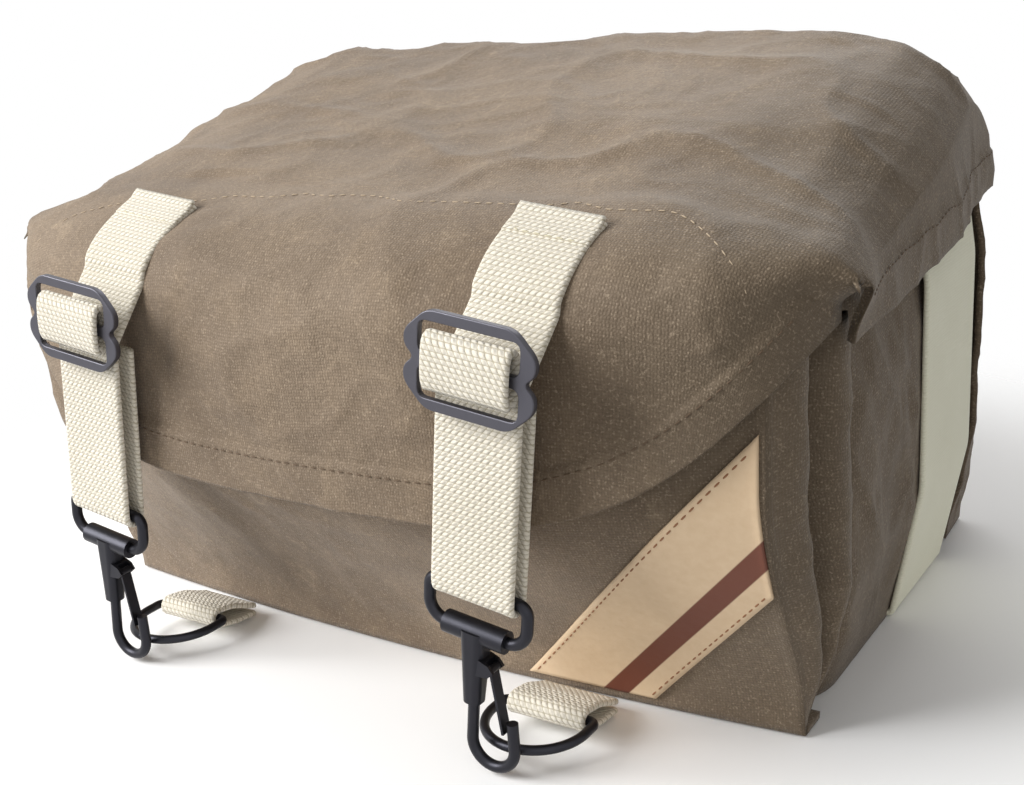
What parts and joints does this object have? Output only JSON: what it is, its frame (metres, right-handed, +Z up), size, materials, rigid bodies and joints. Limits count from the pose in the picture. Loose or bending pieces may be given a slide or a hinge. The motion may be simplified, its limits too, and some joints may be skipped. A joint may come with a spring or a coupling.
{
  "type": "canvas satchel",
  "caption": "Waxed canvas satchel with a folding lid and flap, a full-width front pocket, and webbing straps with buckles and snap hooks that clip to rings at its foot.",
  "frame": {"origin": "on the ground under the main compartment, midway across its width", "axes": "+X across the bag to the viewer's right when its front is seen, -Y out of the front, +Z up"},
  "size_m": [0.2955, 0.2431, 0.1815],
  "materials": {
    "canvas": "waxed",
    "webbing": "coarse woven",
    "wide_webbing": "smooth woven",
    "label": "matte",
    "buckle_metal": "satin",
    "dark_wire": "satin",
    "board": "matte",
    "zip_tape": "woven",
    "zip_metal": "satin"
  },
  "bodies": {
    "bag": {"main_body": "canvas", "base_board": "board", "front_pocket": "canvas", "rear_pocket": "canvas", "label_patch": "label", "body_webbing": "wide_webbing", "ring_tab_right": "webbing", "ring_tab_left": "webbing"},
    "lid": {"lid_panel": "canvas", "lid_pocket": "canvas", "zip_tape": "zip_tape"},
    "zip_pull": {"zip_slider": "zip_metal"},
    "flap": {"flap_panel": "canvas", "strap_tab_right": "webbing", "strap_tab_left": "webbing"},
    "strap_right": {"strap_loop_right": "webbing"},
    "buckle_right": {"buckle_right": "buckle_metal", "buckle_wrap_right": "webbing"},
    "bail_right": {"bail_right": "dark_wire"},
    "hook_right": {"hook_sleeve_right": "dark_wire", "hook_wire_right": "dark_wire"},
    "gate_right": {"gate_right": "dark_wire"},
    "ring_right": {"ring_right": "dark_wire"},
    "strap_left": {"strap_loop_left": "webbing"},
    "buckle_left": {"buckle_left": "buckle_metal", "buckle_wrap_left": "webbing"},
    "bail_left": {"bail_left": "dark_wire"},
    "hook_left": {"hook_sleeve_left": "dark_wire", "hook_wire_left": "dark_wire"},
    "gate_left": {"gate_left": "dark_wire"},
    "ring_left": {"ring_left": "dark_wire"}
  },
  "joints": [
    {"name": "lid_hinge", "type": "hinge", "parent": "bag", "child": "lid", "pos_m": [0, 0.064, 0.165], "axis": [-1, 0, 0], "range_deg": [0, 210]},
    {"name": "zip_slide", "type": "slide", "parent": "lid", "child": "zip_pull", "axis": [1, 0, 0], "range_m": [0, 0.17]},
    {"name": "flap_fold", "type": "hinge", "parent": "lid", "child": "flap", "pos_m": [0, -0.0882, 0.1486], "axis": [-1, 0, 0], "range_deg": [0, 120]},
    {"name": "strap_swing_right", "type": "hinge", "parent": "flap", "child": "strap_right", "pos_m": [0.07418, -0.12672, 0.12884], "axis": [-0.9914, 0, 0.1305], "range_deg": [0, 85]},
    {"name": "buckle_slide_right", "type": "slide", "parent": "strap_right", "child": "buckle_right", "axis": [0.1305, 0, 0.9914], "range_m": [-0.04, 0.01]},
    {"name": "bail_swing_right", "type": "hinge", "parent": "strap_right", "child": "bail_right", "pos_m": [0.06484, -0.1366, 0.05403], "axis": [-0.9914, 0, 0.1305], "range_deg": [0, 95]},
    {"name": "hook_swing_right", "type": "hinge", "parent": "bail_right", "child": "hook_right", "pos_m": [0.06325, -0.1366, 0.04194], "axis": [-0.9914, 0, 0.1305], "range_deg": [0, 95]},
    {"name": "gate_turn_right", "type": "hinge", "parent": "hook_right", "child": "gate_right", "pos_m": [0.06763, -0.1366, 0.03229], "axis": [0, -1, 0], "range_deg": [-25, 0], "stiffness_Nm_per_rad": 0.02, "springref_deg": 5.73},
    {"name": "ring_swing_right", "type": "hinge", "parent": "bag", "child": "ring_right", "pos_m": [0.0681, -0.1121, 0.0069], "axis": [-1, 0, 0], "range_deg": [0, 140]},
    {"name": "strap_swing_left", "type": "hinge", "parent": "flap", "child": "strap_left", "pos_m": [-0.06782, -0.12893, 0.12865], "axis": [-0.9914, 0, 0.1305], "range_deg": [0, 85]},
    {"name": "buckle_slide_left", "type": "slide", "parent": "strap_left", "child": "buckle_left", "axis": [0.1305, 0, 0.9914], "range_m": [-0.04, 0.01]},
    {"name": "bail_swing_left", "type": "hinge", "parent": "strap_left", "child": "bail_left", "pos_m": [-0.07716, -0.1366, 0.05403], "axis": [-0.9914, 0, 0.1305], "range_deg": [0, 95]},
    {"name": "hook_swing_left", "type": "hinge", "parent": "bail_left", "child": "hook_left", "pos_m": [-0.07875, -0.1366, 0.04194], "axis": [-0.9914, 0, 0.1305], "range_deg": [0, 95]},
    {"name": "gate_turn_left", "type": "hinge", "parent": "hook_left", "child": "gate_left", "pos_m": [-0.07437, -0.1366, 0.03229], "axis": [0, -1, 0], "range_deg": [-25, 0], "stiffness_Nm_per_rad": 0.02, "springref_deg": 5.73},
    {"name": "ring_swing_left", "type": "hinge", "parent": "bag", "child": "ring_left", "pos_m": [-0.0739, -0.1121, 0.0069], "axis": [-1, 0, 0], "range_deg": [0, 165]}
  ]
}
